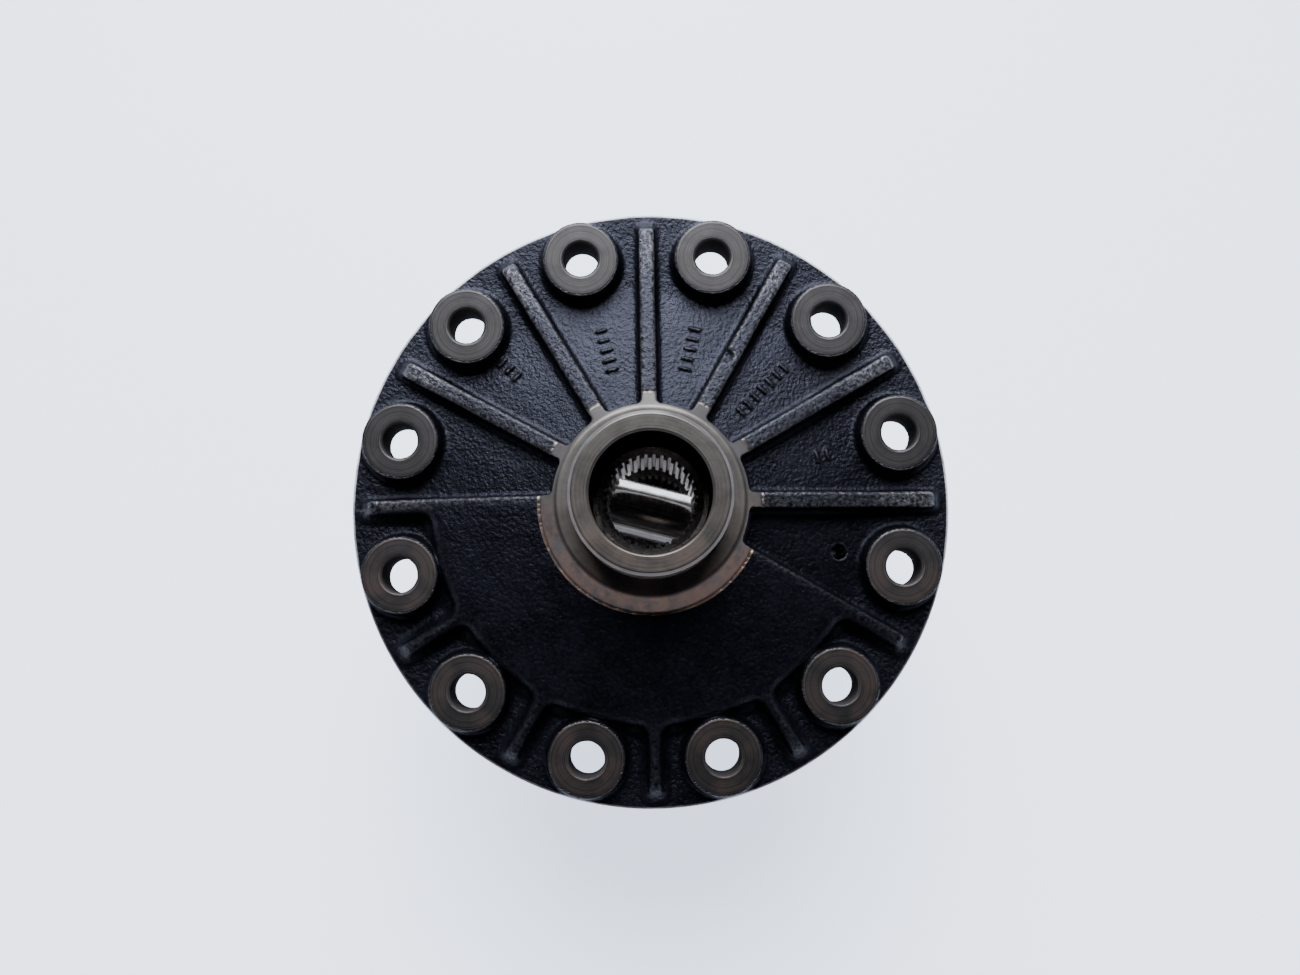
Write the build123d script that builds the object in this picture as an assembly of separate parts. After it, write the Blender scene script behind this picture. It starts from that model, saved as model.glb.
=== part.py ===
from build123d import *
from math import acos, atan2, cos, hypot, pi, radians, sin, sqrt, tan
import os

# An open differential for a drive axle: a one-piece cast case with its ring gear flange, two side gears,
# two pinions on a cross shaft, the pin that locks the shaft, and the thrust washers. Millimetres.
# +Z runs along the axle towards the flange side, X along the cross shaft, and the origin is the centre
# of the face that the ring gear seats on.

# ---- flange and ring gear joint ----
FLANGE_R = 128.0
RIM_T = 10.0                # thickness of the flange at its rim
RIM_CHAMFER = 1.0
BOLT_COUNT = 12
BOLT_CIRCLE_R = 109.75
BOLT_HOLE_R = 7.5           # clearance for an M14 bolt
BOSS_TOP_R = 16.1
BOSS_BASE_R = 17.4
BOSS_TOP_Z = 19.5
PILOT_R = 92.0              # the ring gear's bore centres on this
PILOT_LENGTH = 14.0

# ---- outer web: rib tops lie on one cone, pocket floors on a lower one ----
DOME_TOP_Z = 28.0           # height of the rib tops where they meet the hub
DOME_TOP_R = 45.0
DOME_SLOPE = 0.147          # fall of the rib tops per millimetre of radius
RIB_END_R = 119.5
RIB_FOOT_R = 123.0
RIB_HALF_W = 3.9
STUB_RIB_HALF_W = 3.2       # the ribs between the short pockets
RIB_DRAFT = 3.0             # degrees
FLOOR_HUB_Z = 19.5          # pocket floor beside the hub
FLOOR_HUB_R = 42.0
FLOOR_FLAT_R = 94.0         # outside this the pocket floor is flat, at the rim's height
HUB_R = 41.0
SHORT_POCKET_R = 91.5       # where the short pockets of the thickened side begin
POCKET_CORNER_R = 3.0
SHORT_CORNER_R = 5.0
THICK_SIDE = (210, 240, 270, 300, 330)   # bolt hole directions, in degrees, on the thickened side

# ---- trunnions, the same at both ends ----
JOURNAL_R = 32.5            # seat for a bearing of 65 mm bore
JOURNAL_LENGTH = 33.0
JOURNAL_CHAMFER = 1.4
GROOVE_W = 2.4              # undercut at the foot of each journal
GROOVE_DEPTH = 0.5
SHOULDER_R = 39.5
SHOULDER_TOP_Z = 33.0
HUB_CONE_R = 46.5           # the turned cone below the shoulder runs out here, on the ribs
HUB_CONE_Z = 27.2
TRUNNION_BORE_R = 23.9
BORE_CHAMFER = 0.9

# ---- gear set ----
MODULE = 6.0
SIDE_TEETH = 16
PINION_TEETH = 10
PRESSURE_ANGLE = 22.5
FACE_WIDTH = 18.0
ADDENDUM = 0.8              # in modules, before the shift
CLEARANCE = 0.2
SHIFT = 0.35                # long addendum on the pinion, short on the side gear
THINNING = 0.16             # taken off each tooth's thickness for backlash
CENTRE_Z = -32.0            # where the shaft and the axle cross
SIDE_BACK = 41.0            # side gear's back face from the centre
SIDE_FRONT = 17.0
SIDE_HUB_END = 66.0
SIDE_HUB_R = 25.9
SIDE_FRONT_HUB_R = 25.0
SPLINE_TEETH = 36
SPLINE_MINOR_R = 18.2
SPLINE_MAJOR_R = 19.6
SPLINE_MOUTH_R = 22.0
SPLINE_MOUTH_DEPTH = 4.5
PINION_BACK_R = 59.5        # sphere about the centre
PINION_SEAT_R = 25.0
PINION_FRONT = 30.8
PINION_BUSH_R = 14.6
PINION_BUSH_BORE_R = 12.78
PINION_BUSH_END = 57.0      # from the centre

# ---- cross shaft and its lock pin ----
SHAFT_R = 12.7
SHAFT_HALF_L = 89.5
SHAFT_CHAMFER = 1.2
SHAFT_FLAT_DEPTH = 0.9      # oil flats under the pinions
SHAFT_FLAT_FROM = 34.0
SHAFT_FLAT_TO = 58.0
SHAFT_HOLE_R = 12.73
LOCK_R = 82.7               # the lock pin's distance from the axle
LOCK_HOLE_R = 3.25
LOCK_PIN_R = 3.2
LOCK_PIN_BORE_R = 1.9
LOCK_PIN_SLOT = 1.1
LOCK_PIN_TOP_Z = -9.0
LOCK_PIN_BOTTOM_Z = -51.0
LOCK_HOLE_BOTTOM_Z = -53.0

# ---- case interior and body ----
SEAT_SPHERE_R = 61.0        # spherical seats of the pinion washers
THRUST_FACE = 42.5          # side gear thrust faces from the centre
COUNTERBORE_R = 26.0
COUNTERBORE_END = 67.5      # from the centre
BODY_TOP_R = 86.5
BODY_R = 82.0
BODY_END_Z = -56.0
NOSE_R = 54.0
NOSE_Z = -79.0
HUB_FOOT_R = 43.0
HUB_FOOT_Z = -84.0
LOWER_SHOULDER_Z = -97.0
SHAFT_BOSS_R = 21.5
SHAFT_BOSS_END = 90.5
SHAFT_BOSS_LIMIT_R = 91.2   # turned down so that the ring gear passes over them
NOSE_RIB_HALF_W = 4.0
NOSE_RIB_ANGLES = (0, 30, 150, 180, 210, 330)
WINDOW_TOP_Z = -16.0
WINDOW_HEIGHT = 54.0
WINDOW_W = {-1: 106.0, 1: 96.0}     # the wider window is on the thickened side, towards -Y
WINDOW_CORNER_R = 13.0
WINDOW_INNER = 30.0                 # the window cuts start here, outside the pinion seats

# ---- thrust washers ----
SIDE_WASHER = (41.05, 42.45)       # faces from the centre
SIDE_WASHER_R = (26.4, 40.5)
SIDE_WASHER_GROOVE_W = 2.4
PINION_WASHER = (59.6, 60.9)       # inner and outer sphere
PINION_WASHER_R = (13.1, 24.6)

RIB_STEP = 360 / BOLT_COUNT
CENTRE = Location((0, 0, CENTRE_Z))


def lathe(points):
    """A solid of revolution about Z from (radius, height) corners."""
    face = make_face(Polyline(*[(r, 0, z) for r, z in points], close=True))
    return revolve(face, Axis.Z)


def rod(radius, start, end, direction=(0, 0, 1)):
    """A cylinder along direction, from start to end as distances from the origin."""
    d = Vector(direction)
    return extrude(Plane(origin=d * start, z_dir=d) * Circle(radius), end - start)


def dome_z(radius):
    """Height of the cone that the rib tops lie on."""
    return DOME_TOP_Z - DOME_SLOPE * (radius - DOME_TOP_R)


def floor_z(radius):
    """Height of the pocket floors."""
    if radius >= FLOOR_FLAT_R:
        return RIM_T
    return RIM_T + (FLOOR_HUB_Z - RIM_T) * (FLOOR_FLAT_R - radius) / (FLOOR_FLAT_R - FLOOR_HUB_R)


# ---- gears ----

def involute(angle):
    return tan(angle) - angle


def space_outline(teeth, cone_angle, shift, scale):
    """The gap between two teeth, as a closed wire on the plane square to the pitch cone at scale times
    the outer cone distance. The plane's own x is tangential and its y points from root to tip."""
    pressure = radians(PRESSURE_ANGLE)
    virtual = teeth / cos(cone_angle)
    pitch_r = MODULE * virtual / 2
    base_r = pitch_r * cos(pressure)
    thickness = MODULE * (pi / 2 + 2 * shift * tan(pressure)) - THINNING
    root_r = pitch_r - MODULE * (ADDENDUM + CLEARANCE - shift)
    tip_r = pitch_r + MODULE * (ADDENDUM + shift) + 2.0
    fillet_r = root_r + 0.22 * MODULE

    def half_angle(radius):
        pressure_here = acos(min(1.0, base_r / radius))
        tooth = thickness / (2 * pitch_r) + involute(pressure) - involute(pressure_here)
        return pi / virtual - tooth

    def point(radius, side):
        a = side * half_angle(radius)
        return (scale * radius * sin(a), scale * (radius * cos(a) - pitch_r))

    steps = 9
    radii = [fillet_r + (tip_r - fillet_r) * (i / steps) ** 1.3 for i in range(steps + 1)]
    left = Spline(*[point(r, -1) for r in radii])
    right = Spline(*[point(r, 1) for r in radii])
    root = ThreePointArc(point(fillet_r, -1), (0, scale * (root_r - pitch_r)), point(fillet_r, 1))
    top = Line(point(tip_r, -1), point(tip_r, 1))
    return make_face([left, root, right, top])


def cut_teeth(blank, teeth, cone_angle, shift):
    """Cuts the tooth spaces, each a cone over the outline with its apex at the gear's apex."""
    cone_distance = MODULE * hypot(SIDE_TEETH, PINION_TEETH) / 2
    along = Vector(sin(cone_angle), 0, cos(cone_angle))
    sections = []
    for scale in (0.55, 1.16):
        plane = Plane(origin=along * cone_distance * scale, x_dir=(0, -1, 0), z_dir=along)
        sections.append(plane * space_outline(teeth, cone_angle, shift, scale))
    gap = loft(sections, ruled=True)
    pitch = 360 / teeth
    gaps = [Rot(0, 0, (i + 0.5) * pitch) * gap for i in range(teeth)]
    return blank - gaps


def cone_point(cone_angle, scale, height):
    """(radius, height) of a point that is height above the pitch cone, on the end cone at scale times
    the outer cone distance."""
    cone_distance = MODULE * hypot(SIDE_TEETH, PINION_TEETH) / 2 * scale
    return (cone_distance * sin(cone_angle) + height * cos(cone_angle),
            cone_distance * cos(cone_angle) - height * sin(cone_angle))


def inner_scale():
    return 1 - FACE_WIDTH / (MODULE * hypot(SIDE_TEETH, PINION_TEETH) / 2)


def spline_cutter(length):
    """The gaps of the internal spline, as one prism along Z."""
    half = pi / SPLINE_TEETH
    a_in, a_out = 0.62 * half, 0.36 * half
    low = SPLINE_MINOR_R - 0.4
    gap = make_face(Polyline(
        (low * cos(a_in), -low * sin(a_in)), (SPLINE_MAJOR_R * cos(a_out), -SPLINE_MAJOR_R * sin(a_out)),
        (SPLINE_MAJOR_R * cos(a_out), SPLINE_MAJOR_R * sin(a_out)), (low * cos(a_in), low * sin(a_in)),
        close=True))
    prism = extrude(gap, length)
    return [Rot(0, 0, i * 360 / SPLINE_TEETH) * prism for i in range(SPLINE_TEETH)]


def side_gear():
    """A side gear with its apex at the origin and its back towards +Z."""
    angle = atan2(SIDE_TEETH, PINION_TEETH)
    small = inner_scale()
    addendum = MODULE * (ADDENDUM - SHIFT)
    dedendum = MODULE * (ADDENDUM + CLEARANCE + SHIFT)
    tip_out = cone_point(angle, 1, addendum)
    tip_in = cone_point(angle, small, addendum * small)
    valley = cone_point(angle, small, -dedendum * small - 1.6)
    back_rise = (SIDE_BACK - cone_point(angle, 1, 0)[1]) / sin(angle)
    back_r = cone_point(angle, 1, -back_rise)[0]
    blank = lathe([
        (SPLINE_MINOR_R, SIDE_FRONT + 1), (SPLINE_MINOR_R + 1.4, SIDE_FRONT), (SIDE_FRONT_HUB_R, SIDE_FRONT),
        (SIDE_FRONT_HUB_R + 1, SIDE_FRONT + 1), valley, tip_in, tip_out,
        (back_r, SIDE_BACK), (SIDE_HUB_R, SIDE_BACK), (SIDE_HUB_R, SIDE_HUB_END - 1),
        (SIDE_HUB_R - 1, SIDE_HUB_END), (SPLINE_MOUTH_R, SIDE_HUB_END),
        (SPLINE_MAJOR_R + 0.2, SIDE_HUB_END - SPLINE_MOUTH_DEPTH),
        (SPLINE_MINOR_R, SIDE_HUB_END - SPLINE_MOUTH_DEPTH - 1.4),
    ])
    gear = cut_teeth(blank, SIDE_TEETH, angle, -SHIFT)
    length = SIDE_HUB_END - SPLINE_MOUTH_DEPTH - SIDE_FRONT + 2
    splines = [Pos(0, 0, SIDE_FRONT - 1) * s for s in spline_cutter(length)]
    return gear - splines


def pinion_gear():
    """A pinion with its apex at the origin and its back towards +Z, a tooth gap in the direction of +X."""
    angle = atan2(PINION_TEETH, SIDE_TEETH)
    small = inner_scale()
    addendum = MODULE * (ADDENDUM + SHIFT)
    dedendum = MODULE * (ADDENDUM + CLEARANCE - SHIFT)
    tip_out = cone_point(angle, 1, addendum)
    tip_in = cone_point(angle, small, addendum * small)
    valley = cone_point(angle, small, -dedendum * small - 0.8)
    back_rise = (cone_point(angle, 1, 0)[0] - PINION_SEAT_R) / cos(angle)
    back = cone_point(angle, 1, -back_rise)
    edge_z = sqrt(PINION_BACK_R ** 2 - PINION_SEAT_R ** 2) - 0.6
    blank = lathe([
        (PINION_BUSH_R, PINION_FRONT + 0.8), (PINION_BUSH_R + 0.8, PINION_FRONT),
        (valley[0] - 1.4, PINION_FRONT), valley, tip_in, tip_out, back,
        (PINION_SEAT_R, edge_z), (PINION_SEAT_R - 0.8, PINION_BACK_R + 1), (PINION_BUSH_R, PINION_BACK_R + 1),
    ])
    blank = blank & Sphere(PINION_BACK_R)
    gear = cut_teeth(blank, PINION_TEETH, angle, SHIFT)
    return Rot(0, 0, 180 / PINION_TEETH) * gear


def pinion_bush():
    """The plain bush pressed into a pinion, flush with its front face and just short of its back."""
    tube = rod(PINION_BUSH_R, PINION_FRONT + 1, PINION_BUSH_END)
    return tube - rod(PINION_BUSH_BORE_R, 0, PINION_BUSH_END + 1)


# ---- case ----

def pocket_plan(direction, inner_r, rib_half_w, corner):
    """Plan of the pocket round one bolt boss, between the ribs on either side of it and out past the rim."""
    half = radians(RIB_STEP / 2)
    outer = FLANGE_R + 20
    inner = inner_r - 10

    def on_rib_side(x):
        return x * tan(half) - rib_half_w / cos(half)

    inner_w, outer_w = on_rib_side(inner), on_rib_side(outer)
    outline = Polyline((inner, -inner_w), (outer, -outer_w), (outer, outer_w), (inner, inner_w), close=True)
    face = make_face(outline) - Circle(inner_r)
    near = face.vertices().sort_by(Axis.X)[:2]
    return Rot(0, 0, direction) * fillet(near, corner)


def under_pocket_floors():
    """Everything below the pocket floors."""
    return lathe([(0, -5), (FLANGE_R + 60, -5), (FLANGE_R + 60, RIM_T), (FLOOR_FLAT_R, RIM_T),
                  (FLOOR_HUB_R, FLOOR_HUB_Z), (0, FLOOR_HUB_Z)])


def flange_with_ribs():
    """The flange, the domed web with its pockets and ribs, the bolt bosses and the hub."""
    web = lathe([(0, 0), (FLANGE_R, 0), (FLANGE_R, RIM_T), (RIB_FOOT_R, RIM_T),
                 (RIB_END_R, dome_z(RIB_END_R)), (HUB_CONE_R, dome_z(HUB_CONE_R)),
                 (HUB_CONE_R, SHOULDER_TOP_Z), (0, SHOULDER_TOP_Z)])
    floors = under_pocket_floors()
    for i in range(BOLT_COUNT):
        direction = round(i * RIB_STEP)
        if direction in THICK_SIDE:
            plan = pocket_plan(direction, SHORT_POCKET_R, STUB_RIB_HALF_W, SHORT_CORNER_R)
        else:
            plan = pocket_plan(direction, HUB_R, RIB_HALF_W, POCKET_CORNER_R)
        web -= extrude(Pos(0, 0, RIM_T - 1) * plan, 30, taper=-RIB_DRAFT) - floors
    web += rod(HUB_R, 0, SHOULDER_TOP_Z)
    boss = lathe([(0, RIM_T - 2), (BOSS_BASE_R, RIM_T - 2), (BOSS_BASE_R, RIM_T),
                  (BOSS_TOP_R, BOSS_TOP_Z - 0.6), (BOSS_TOP_R - 0.6, BOSS_TOP_Z), (0, BOSS_TOP_Z)])
    for i in range(BOLT_COUNT):
        web += Rot(0, 0, i * RIB_STEP) * Pos(BOLT_CIRCLE_R, 0, 0) * boss
    above = SHOULDER_TOP_Z + 1
    turned = lathe([(0, -1), (FLANGE_R - RIM_CHAMFER, -1), (FLANGE_R - RIM_CHAMFER, 0),
                    (FLANGE_R, RIM_CHAMFER), (FLANGE_R, RIM_T - RIM_CHAMFER), (FLANGE_R - RIM_CHAMFER, RIM_T),
                    (FLANGE_R - RIM_CHAMFER, above), (HUB_CONE_R, above), (HUB_CONE_R, HUB_CONE_Z),
                    (SHOULDER_R + 0.2, SHOULDER_TOP_Z - 0.8), (SHOULDER_R - 0.6, SHOULDER_TOP_Z),
                    (0, SHOULDER_TOP_Z)])
    return web & turned


def journal():
    """A bearing journal, its foot at z = 0, with an undercut where it meets the shoulder."""
    return lathe([(0, -2), (JOURNAL_R - GROOVE_DEPTH, -2), (JOURNAL_R - GROOVE_DEPTH, GROOVE_W),
                  (JOURNAL_R, GROOVE_W + GROOVE_DEPTH), (JOURNAL_R, JOURNAL_LENGTH - JOURNAL_CHAMFER),
                  (JOURNAL_R - JOURNAL_CHAMFER, JOURNAL_LENGTH), (0, JOURNAL_LENGTH)])


def body():
    """The barrel round the gears, from the ring gear's pilot down to the far shoulder."""
    corners = {
        "pilot": (PILOT_R, -PILOT_LENGTH + 1.5), "pilot_end": (PILOT_R - 1.5, -PILOT_LENGTH),
        "barrel_top": (BODY_TOP_R, -PILOT_LENGTH - 1.5), "barrel_end": (BODY_R, BODY_END_Z),
        "nose": (NOSE_R, NOSE_Z), "hub_foot": (HUB_FOOT_R, HUB_FOOT_Z),
        "shoulder": (SHOULDER_R + 0.6, LOWER_SHOULDER_Z + 1),
        "shoulder_end": (SHOULDER_R - 0.4, LOWER_SHOULDER_Z),
    }
    ring = [(0, 1), (PILOT_R, 1), *corners.values(), (0, LOWER_SHOULDER_Z)]
    profile = make_face(Polyline(*[(r, 0, z) for r, z in ring], close=True))
    for name, radius in (("barrel_end", 14.0), ("nose", 10.0), ("hub_foot", 3.0)):
        r, z = corners[name]
        profile = fillet(profile.vertices().sort_by_distance((r, 0, z))[:1], radius)
    return revolve(profile, Axis.Z)


def nose_ribs():
    """Ribs that tie the far hub to the barrel."""
    side = make_face(Polyline((SHOULDER_R - 4, -66), (BODY_R - 8, -56), (BODY_R - 8, BODY_END_Z - 6),
                              (SHOULDER_R + 1, LOWER_SHOULDER_Z + 4), (SHOULDER_R - 4, LOWER_SHOULDER_Z + 4),
                              close=True))
    rib = extrude(Plane.XZ * side, NOSE_RIB_HALF_W, both=True)
    return [Rot(0, 0, angle) * rib for angle in NOSE_RIB_ANGLES]


def shaft_boss(side):
    """The boss round one end of the cross shaft's hole."""
    boss = CENTRE * rod(SHAFT_BOSS_R, 60, SHAFT_BOSS_END, (side, 0, 0))
    return boss & rod(SHAFT_BOSS_LIMIT_R, BODY_END_Z, 0)


def window(side):
    """The opening in one side of the barrel that the gears go in through."""
    outline = Plane.XZ * RectangleRounded(WINDOW_W[side], WINDOW_HEIGHT, WINDOW_CORNER_R)
    cut = extrude(outline, 40, both=True)
    return Pos(0, side * (WINDOW_INNER + 40), WINDOW_TOP_Z - WINDOW_HEIGHT / 2) * cut


def cavity():
    """The turned inside: spherical pinion seats, flat side gear seats, and the bores along the axle."""
    room = CENTRE * (Sphere(SEAT_SPHERE_R) & Cylinder(SEAT_SPHERE_R + 5, 2 * THRUST_FACE))
    counterbore = CENTRE * rod(COUNTERBORE_R, -COUNTERBORE_END, COUNTERBORE_END)
    top = SHOULDER_TOP_Z + JOURNAL_LENGTH
    bottom = LOWER_SHOULDER_Z - JOURNAL_LENGTH
    bore = rod(TRUNNION_BORE_R, bottom - 1, top + 1)
    mouth = lathe([(0, 0), (TRUNNION_BORE_R, 0), (TRUNNION_BORE_R + BORE_CHAMFER, BORE_CHAMFER),
                   (TRUNNION_BORE_R + BORE_CHAMFER, 5), (0, 5)])
    top_mouth = Pos(0, 0, top - BORE_CHAMFER) * mouth
    bottom_mouth = Pos(0, 0, bottom + BORE_CHAMFER) * Rot(180, 0, 0) * mouth
    return [room, counterbore, bore, top_mouth, bottom_mouth]


def differential_case():
    solid = flange_with_ribs() + body() + nose_ribs()
    solid += Pos(0, 0, SHOULDER_TOP_Z) * journal()
    solid += Pos(0, 0, LOWER_SHOULDER_Z) * Rot(180, 0, 0) * journal()
    for side in (1, -1):
        solid += shaft_boss(side)
    for tool in cavity():
        solid -= tool
    for side in (1, -1):
        solid -= window(side)
    solid -= CENTRE * rod(SHAFT_HOLE_R, -100, 100, (1, 0, 0))
    solid -= Pos(LOCK_R, 0, 0) * rod(LOCK_HOLE_R, LOCK_HOLE_BOTTOM_Z, 40)
    for i in range(BOLT_COUNT):
        solid -= Rot(0, 0, i * RIB_STEP) * Pos(BOLT_CIRCLE_R, 0, 0) * rod(BOLT_HOLE_R, -5, 40)
    return solid


# ---- shaft, pin and washers ----

def pinion_shaft():
    """The cross shaft along X, with oil flats under the pinions and the lock pin's cross hole."""
    shaft = chamfer(rod(SHAFT_R, -SHAFT_HALF_L, SHAFT_HALF_L, (1, 0, 0)).edges().filter_by(GeomType.CIRCLE),
                    SHAFT_CHAMFER)
    length = SHAFT_FLAT_TO - SHAFT_FLAT_FROM
    for side in (1, -1):
        for face in (1, -1):
            middle = Pos(side * (SHAFT_FLAT_FROM + length / 2), 0, face * (SHAFT_R - SHAFT_FLAT_DEPTH + 5))
            shaft -= middle * Box(length, 30, 10)
    return CENTRE * shaft - Pos(LOCK_R, 0, 0) * rod(LOCK_HOLE_R, LOCK_HOLE_BOTTOM_Z, 40)


def shaft_lock_pin():
    """A slotted spring pin."""
    pin = chamfer(rod(LOCK_PIN_R, LOCK_PIN_BOTTOM_Z, LOCK_PIN_TOP_Z).edges(), 0.5)
    pin -= rod(LOCK_PIN_BORE_R, LOCK_PIN_BOTTOM_Z - 1, LOCK_PIN_TOP_Z + 1)
    height = LOCK_PIN_TOP_Z - LOCK_PIN_BOTTOM_Z + 2
    slot = Pos(LOCK_PIN_R, 0, LOCK_PIN_BOTTOM_Z - 1 + height / 2) * Box(2 * LOCK_PIN_R, LOCK_PIN_SLOT, height)
    return Pos(LOCK_R, 0, 0) * (pin - slot)


def side_gear_washer():
    """A flat thrust washer behind a side gear, with oil grooves across its face."""
    near, far = SIDE_WASHER
    inner, outer = SIDE_WASHER_R
    washer = rod(outer, near, far) - rod(inner, near - 1, far + 1)
    for i in range(4):
        groove = Pos((inner + outer) / 2, 0, near) * Box(outer - inner + 6, SIDE_WASHER_GROOVE_W, 0.8)
        washer -= Rot(0, 0, 45 + i * 90) * groove
    return washer


def pinion_washer():
    """A dished thrust washer behind a pinion, square to +Z."""
    near, far = PINION_WASHER
    inner, outer = PINION_WASHER_R
    return (Sphere(far) - Sphere(near)) & (rod(outer, 10, far + 5) - rod(inner, 5, far + 10))


FACING_FAR = CENTRE * Rot(180, 0, 0)
FACING_LOCK = CENTRE * Rot(0, 90, 0)
FACING_PLAIN = CENTRE * Rot(0, -90, 0)


def assembly():
    side, pinion, bush = side_gear(), pinion_gear(), pinion_bush()
    flat, dished = side_gear_washer(), pinion_washer()
    return {
        "differential_case": differential_case(),
        "pinion_shaft": pinion_shaft(),
        "shaft_lock_pin": shaft_lock_pin(),
        "side_gear_flange_side": CENTRE * side,
        "side_gear_far_side": FACING_FAR * side,
        "side_gear_washer_flange_side": CENTRE * flat,
        "side_gear_washer_far_side": FACING_FAR * flat,
        "pinion_gear_lock_pin_side": FACING_LOCK * pinion,
        "pinion_gear_plain_side": FACING_PLAIN * pinion,
        "pinion_bush_lock_pin_side": FACING_LOCK * bush,
        "pinion_bush_plain_side": FACING_PLAIN * bush,
        "pinion_washer_lock_pin_side": FACING_LOCK * dished,
        "pinion_washer_plain_side": FACING_PLAIN * dished,
    }


if __name__ == "__main__":
    os.makedirs("parts", exist_ok=True)
    for name, solid in assembly().items():
        export_step(solid, f"parts/{name}.step")
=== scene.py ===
"""An open differential in its one-piece cast case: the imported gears, shaft and washers in their real
materials, and the case rebuilt as a smooth casting with turned faces. Shapes are worked out in
millimetres in the part's own frame and made in metres."""

from math import cos, radians, sin, tan

import bpy
import numpy as np
from mathutils import Matrix, Vector


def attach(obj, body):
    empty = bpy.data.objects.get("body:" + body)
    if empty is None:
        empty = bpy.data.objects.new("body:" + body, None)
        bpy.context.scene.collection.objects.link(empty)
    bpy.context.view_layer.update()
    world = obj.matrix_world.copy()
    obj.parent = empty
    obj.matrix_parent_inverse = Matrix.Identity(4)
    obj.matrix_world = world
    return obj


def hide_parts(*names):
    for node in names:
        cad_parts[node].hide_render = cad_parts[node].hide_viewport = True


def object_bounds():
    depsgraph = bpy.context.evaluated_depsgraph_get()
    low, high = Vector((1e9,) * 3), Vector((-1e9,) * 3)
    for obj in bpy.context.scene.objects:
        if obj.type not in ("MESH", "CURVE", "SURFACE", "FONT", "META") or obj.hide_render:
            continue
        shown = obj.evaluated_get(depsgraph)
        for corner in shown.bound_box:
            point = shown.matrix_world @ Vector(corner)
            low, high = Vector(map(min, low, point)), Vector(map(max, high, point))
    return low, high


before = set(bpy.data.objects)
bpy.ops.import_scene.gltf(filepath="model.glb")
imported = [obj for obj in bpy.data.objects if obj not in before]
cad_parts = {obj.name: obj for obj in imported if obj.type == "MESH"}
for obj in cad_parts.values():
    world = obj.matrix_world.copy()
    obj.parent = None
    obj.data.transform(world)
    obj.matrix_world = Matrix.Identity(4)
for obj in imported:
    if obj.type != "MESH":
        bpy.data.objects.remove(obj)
cad_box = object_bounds()

MM = 0.001

# ---- the case, as the part has it ----
FLANGE_R = 128.0
RIM_T = 10.0
BOLT_COUNT = 12
BOLT_CIRCLE_R = 109.75
BOLT_HOLE_R = 7.5
BOSS_TOP_R = 16.1
BOSS_TOP_Z = 19.5
BOSS_DRAFT = 0.13
DOME_TOP = (45.0, 28.0)         # radius and height where the rib tops meet the hub
DOME_SLOPE = 0.147
RIB_END = (119.5, 17.05)
RIB_FOOT = (123.0, 10.0)
RIB_HALF_W = 3.25               # at the rib tops
STUB_RIB_HALF_W = 2.7           # between the short pockets
RIB_DRAFT = tan(radians(3.0))
FLOOR_HUB = (42.0, 19.5)
FLOOR_FLAT_R = 94.0
SHORT_POCKET_R = 91.8
SHORT_POCKET_DRAFT = tan(radians(14.0))
SHORT_POCKET_CORNER = 5.0
LONG_POCKET_CORNER = 0.5
THICK_SIDE = (7, 8, 9, 10, 11)  # bolt numbers, anticlockwise from +X, on the thickened side
HUB_R = 41.0
SHOULDER_R = 39.5
SHOULDER_Z = 33.0
HUB_CONE = (46.5, 27.2)
JOURNAL_R = 32.5
JOURNAL_LENGTH = 33.0
JOURNAL_CHAMFER = 1.4
UNDERCUT_WIDTH = 2.4
UNDERCUT_DEPTH = 0.5
BORE_R = 23.9
BORE_CHAMFER = 0.9
COUNTERBORE_R = 26.0
COUNTERBORE_END = 67.5
PILOT_R = 92.0
PILOT_END_Z = -14.0
BARREL_TOP_R = 86.5
BARREL_R = 82.0
BARREL_END_Z = -56.0
NOSE = (54.0, -79.0)            # radius and height where the nose meets the far hub
FAR_HUB_R = 40.1
FAR_SHOULDER_Z = -97.0
SHAFT_BOSS_R = 21.5
SHAFT_BOSS_END = 90.5
SHAFT_BOSS_LIMIT_R = 91.2
SHAFT_BOSS_DRAFT = 0.05
SHAFT_HOLE_R = 12.73
NOSE_RIB_ANGLES = (0, 30, 150, 180, 210, 330)
NOSE_RIB_HALF_W = 4.0
NOSE_RIB_EDGE = ((40.5, -93.0), (74.0, -62.0))  # two (radius, height) points on the ribs' outer edges
NOSE_RIB_REACH = (30.0, 76.0)   # their inner and outer radius
NOSE_RIB_TOP_Z = -50.0
CENTRE_Z = -32.0
SEAT_SPHERE_R = 61.0
THRUST_FACE = 42.5
WINDOW_Z = (-70.0, -16.0)
WINDOW_HALF_W = (48.0, 53.0)    # towards +Y and -Y
WINDOW_INNER = 30.0
WINDOW_CORNER_R = 13.0
LOCK_R = 82.7
LOCK_HOLE_R = 3.25
LOCK_HOLE_BOTTOM_Z = -53.0
LINER_R = 30.0                  # the turned trunnions are pieces of their own inside this radius

# ---- how the casting is finished ----
RIB_TOP_ROUND = 1.3
SHORT_TOP_ROUND = 3.6           # on the thickened side, outside SHORT_TOP_FROM_R
SHORT_TOP_FROM_R = 80.0
RIB_END_ROUND = 1.6
FLOOR_FILLET = 2.6
SHORT_FLOOR_FILLET = 4.5
FLOOR_BEND = 3.0                # how gently the pocket floors run out level
HUB_FILLET = 2.2
BOSS_FILLET = 2.2
SPOT_FACE_DEPTH = 1.0           # cast height that the spot faces take off the bosses
SPOT_FACE_PAST = 3.0            # how far the spot faces reach past the boss tops
EDGE_BREAK = 0.35
HUB_CONE_EDGE = 0.3
LOCK_HOLE_EDGE = 0.3
TURNED_EDGE = 0.6
RIM_EDGE = 0.9
NOSE_ROUND = 14.0
FAR_HUB_FILLET = 7.0
SHAFT_BOSS_EDGE = 1.2
SHAFT_BOSS_TURNED_EDGE = 0.8
SHAFT_BOSS_FILLET = 4.0
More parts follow.
